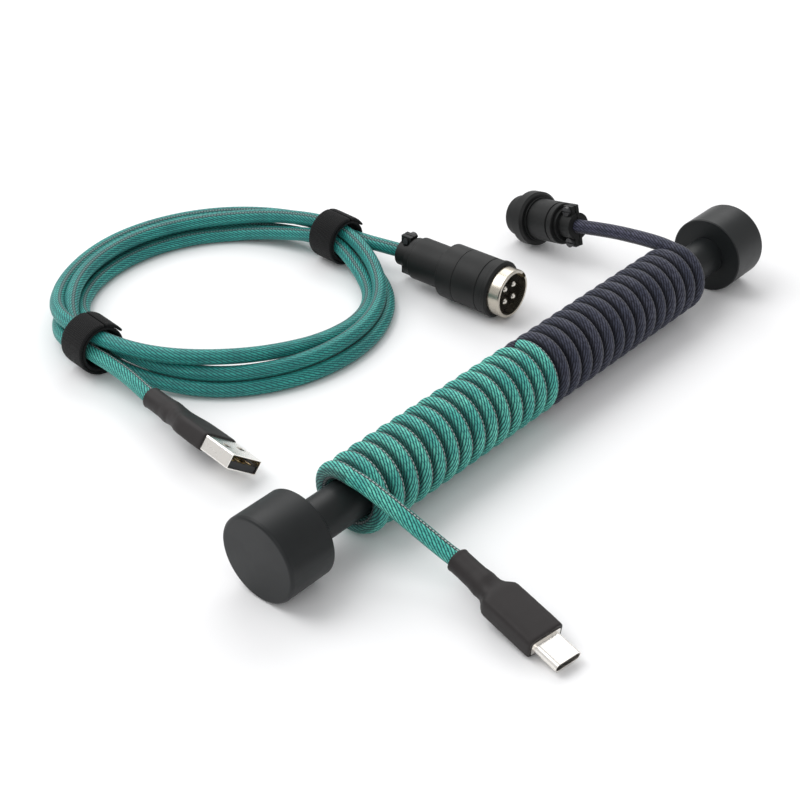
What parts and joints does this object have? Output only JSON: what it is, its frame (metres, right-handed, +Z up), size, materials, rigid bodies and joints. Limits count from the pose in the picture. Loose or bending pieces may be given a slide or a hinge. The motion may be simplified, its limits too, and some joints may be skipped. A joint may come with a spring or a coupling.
{
  "type": "coiled keyboard cable set",
  "caption": "Custom keyboard cable set: a coiled two-colour USB-C cable on a barbell stand, and a straight USB-A cable tied in a loop, joined by aviator connectors.",
  "frame": {"origin": "bottom centre of the barbell, midway between its caps, on the surface that it stands on", "axes": "+X along the barbell from the USB-C end to the navy end, +Y towards the tied loop, +Z up"},
  "size_m": [0.218, 0.2358, 0.0245],
  "materials": {
    "black_anodised": "satin",
    "stud_steel": "satin",
    "teal_braid": "woven",
    "navy_braid": "woven",
    "heat_shrink": "matt",
    "plug_steel": "satin",
    "black_insert": "matt",
    "gold_contact": "satin",
    "silver_contact": "satin",
    "board_green": "matt",
    "black_metal": "satin",
    "screw_black": "satin",
    "wire_grey": "matt",
    "nickel_thread": "satin",
    "hook_loop": "ribbed"
  },
  "bodies": {
    "barbell": {"barbell_rod": "black_anodised"},
    "near_stud": {"near_stud": "stud_steel"},
    "near_cap": {"near_cap": "black_anodised"},
    "far_stud": {"far_stud": "stud_steel"},
    "far_cap": {"far_cap": "black_anodised"},
    "coiled_cable": {"coil_teal": "teal_braid", "coil_navy": "navy_braid", "usbc_lead": "teal_braid", "navy_lead": "navy_braid", "usbc_boot": "heat_shrink", "usbc_collar": "plug_steel", "usbc_shell": "plug_steel", "usbc_liner": "black_insert", "usbc_contacts": "gold_contact", "usbc_board": "board_green", "navy_back_shell": "black_metal", "navy_clamp_bar": "black_metal", "navy_clamp_screws": "screw_black", "navy_front_sleeve": "black_metal", "navy_insert": "black_insert", "navy_sockets": "gold_contact", "navy_wires": "wire_grey"},
    "coupling_nut": {"navy_coupling_nut": "black_metal"},
    "straight_cable": {"cable_loop": "teal_braid", "usba_lead": "teal_braid", "aviator_lead": "teal_braid", "teal_back_shell": "black_metal", "teal_clamp_bar": "black_metal", "teal_clamp_screws": "screw_black", "teal_middle_sleeve": "black_metal", "teal_front_ring": "black_metal", "teal_thread_ring": "nickel_thread", "teal_insert": "black_insert", "teal_pins": "silver_contact", "teal_wires": "wire_grey", "usba_boot": "heat_shrink", "usba_shell": "plug_steel", "usba_tongue": "black_insert", "usba_contacts": "gold_contact", "usba_board": "board_green", "left_tie_band": "hook_loop", "right_tie_band": "hook_loop"},
    "left_tie_tail": {"left_tie_tail": "hook_loop"},
    "right_tie_tail": {"right_tie_tail": "hook_loop"}
  },
  "joints": [
    {"name": "near_cap_turn", "type": "hinge", "parent": "near_stud", "child": "near_cap", "pos_m": [-0.094, 0, 0.01225], "axis": [-1, 0, 0], "range_deg": [0, 2520]},
    {"name": "near_cap_travel", "type": "slide", "parent": "barbell", "child": "near_stud", "axis": [-1, 0, 0], "range_m": [0, 0.0071]},
    {"name": "far_cap_turn", "type": "hinge", "parent": "far_stud", "child": "far_cap", "pos_m": [0.094, 0, 0.01225], "axis": [1, 0, 0], "range_deg": [0, 2520]},
    {"name": "far_cap_travel", "type": "slide", "parent": "barbell", "child": "far_stud", "axis": [1, 0, 0], "range_m": [0, 0.0071]},
    {"name": "coil_slide", "type": "slide", "parent": "barbell", "child": "coiled_cable", "axis": [1, 0, 0], "range_m": [-0.0135, 0.0135]},
    {"name": "coupling_nut_turn", "type": "hinge", "parent": "coiled_cable", "child": "coupling_nut", "pos_m": [0.0829, 0.0609, 0.00979], "axis": [0.1685, 0.9556, -0.2419], "continuous": true},
    {"name": "straight_cable_slide", "type": "slide", "parent": "barbell", "child": "straight_cable", "axis": [0, 1, 0], "range_m": [0, 0.05]},
    {"name": "left_tie_peel", "type": "hinge", "parent": "straight_cable", "child": "left_tie_tail", "pos_m": [-0.06552, 0.11371, 0.0167], "axis": [-0.1045, -0.9945, 0], "range_deg": [0, 70]},
    {"name": "right_tie_peel", "type": "hinge", "parent": "straight_cable", "child": "right_tie_tail", "pos_m": [0.03203, 0.10494, 0.0167], "axis": [-0.0523, -0.9986, 0], "range_deg": [0, 70]}
  ],
  "couplings": [
    {"joint": "near_cap_travel", "follows": "near_cap_turn", "m_per_rad": 0.00015915},
    {"joint": "far_cap_travel", "follows": "far_cap_turn", "m_per_rad": 0.00015915}
  ]
}
